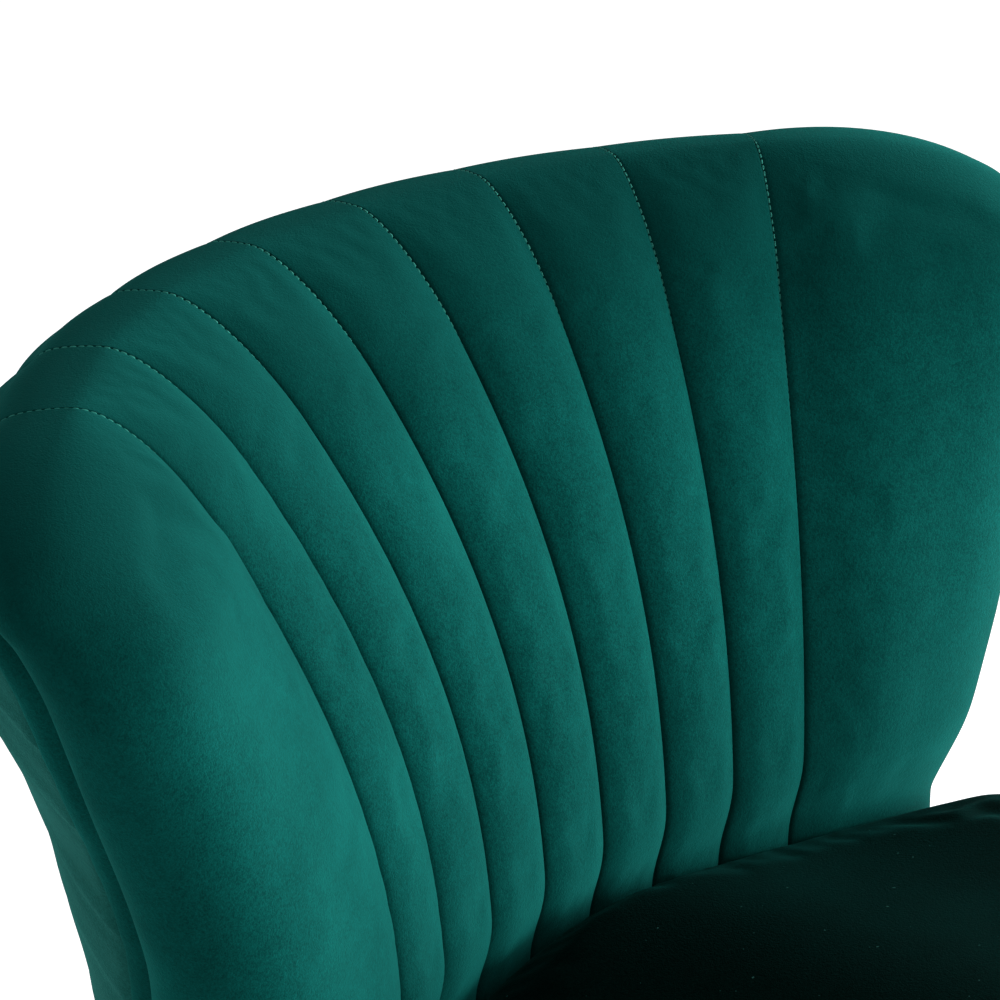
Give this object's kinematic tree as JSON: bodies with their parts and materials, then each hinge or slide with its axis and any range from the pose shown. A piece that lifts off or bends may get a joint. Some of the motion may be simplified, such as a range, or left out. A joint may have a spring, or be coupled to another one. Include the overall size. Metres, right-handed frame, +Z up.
{
  "type": "accent chair",
  "caption": "Upholstered accent chair with a sewn channel back that wraps round the sitter, padded wings, a crowned seat and splayed tapered legs.",
  "frame": {"origin": "floor point under the middle of the bounding box", "axes": "+Z up, the sitter faces -Y, +X to the right of the picture seen from the front"},
  "size_m": [0.667, 0.6766, 0.7524],
  "materials": {
    "velvet": "deep green short pile velvet",
    "foam": "open cell upholstery foam",
    "felt": "pressed grey felt",
    "lining": "black non-woven lining",
    "plywood": "plain plywood and softwood",
    "fibreboard": "brown fibre board",
    "spring_steel": "oiled spring steel",
    "zinc": "zinc plated steel",
    "gold_metal": "brushed gold coloured steel tube",
    "glide_plastic": "black moulded plastic"
  },
  "bodies": {
    "root": {"seat_top": "velvet", "seat_band": "velvet", "outer_cover": "velvet", "wing_pad_left": "velvet", "wing_pad_right": "velvet", "edge_strip_left": "velvet", "edge_strip_right": "velvet", "channel_pad_1": "velvet", "channel_pad_2": "velvet", "channel_pad_3": "velvet", "channel_pad_4": "velvet", "channel_pad_5": "velvet", "channel_pad_6": "velvet", "channel_pad_7": "velvet", "back_foam": "foam", "wing_foam_left": "foam", "wing_foam_right": "foam", "seat_foam": "foam", "seat_deck": "felt", "dust_cover": "lining", "back_panel": "plywood", "top_rail": "plywood", "lower_rail": "plywood", "base_rail": "plywood", "front_rail": "plywood", "rear_rail": "plywood", "side_rail_left": "plywood", "side_rail_right": "plywood", "corner_blocks": "plywood", "inner_rib_left": "plywood", "inner_rib_right": "plywood", "wing_rib_left": "plywood", "wing_rib_right": "plywood", "back_board": "fibreboard", "seat_springs": "spring_steel", "spring_clips": "spring_steel", "back_bolts": "zinc", "bolt_washers": "zinc", "bolt_t_nuts": "zinc", "leg_screws": "zinc", "leg_front_left": "gold_metal", "leg_front_right": "gold_metal", "leg_rear_left": "gold_metal", "leg_rear_right": "gold_metal", "leg_plate_front_left": "gold_metal", "leg_plate_front_right": "gold_metal", "leg_plate_rear_left": "gold_metal", "leg_plate_rear_right": "gold_metal", "foot_glide_front_left": "glide_plastic", "foot_glide_front_right": "glide_plastic", "foot_glide_rear_left": "glide_plastic", "foot_glide_rear_right": "glide_plastic"}
  },
  "joints": []
}
